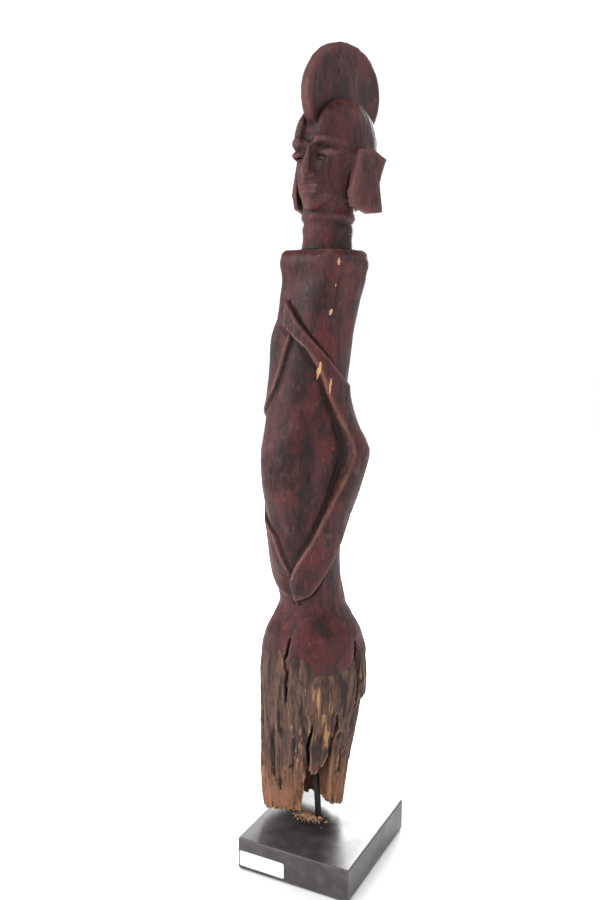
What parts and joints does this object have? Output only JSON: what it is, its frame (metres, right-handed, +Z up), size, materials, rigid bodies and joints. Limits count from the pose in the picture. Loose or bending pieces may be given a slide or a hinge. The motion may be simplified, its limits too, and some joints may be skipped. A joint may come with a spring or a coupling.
{
  "type": "carved ancestor figure on a stand",
  "caption": "Tall wooden ancestor figure with a round comb, hands on its belly and a decayed split foot, turning on and lifting off a rod in a black block.",
  "frame": {"origin": "centre of the underside of the stand's felt, on the table", "axes": "+Z up, -Y towards the long label edge of the block, +X to the right of someone facing that edge"},
  "size_m": [0.1645, 0.1909, 0.9895],
  "materials": {
    "carved_wood": "dark red-brown patina with a dull wax sheen, bare weathered wood at the foot",
    "black_rod": "satin black",
    "tube_steel": "brushed",
    "plated_steel": "zinc plated",
    "black_lacquer": "satin black lacquer over wood",
    "felt": "dense black felt",
    "label_paper": "blank matt paper",
    "crumb_wood": "bare rotten wood"
  },
  "bodies": {
    "stand": {"plinth": "black_lacquer", "base_felt": "felt", "paper_label": "label_paper", "rod_washer": "plated_steel", "wood_crumbs": "crumb_wood"},
    "rod": {"mounting_rod": "black_rod", "rod_nut": "plated_steel"},
    "figure": {"carved_figure": "carved_wood", "socket_tube": "tube_steel"}
  },
  "joints": [
    {"name": "turn", "type": "hinge", "parent": "stand", "child": "rod", "pos_m": [-0.008, 0.002, 0.042], "axis": [-0.0544, -0.0277, 0.9981], "continuous": true},
    {"name": "lift_off", "type": "slide", "parent": "rod", "child": "figure", "axis": [-0.0544, -0.0277, 0.9981], "range_m": [0, 0.2]}
  ]
}
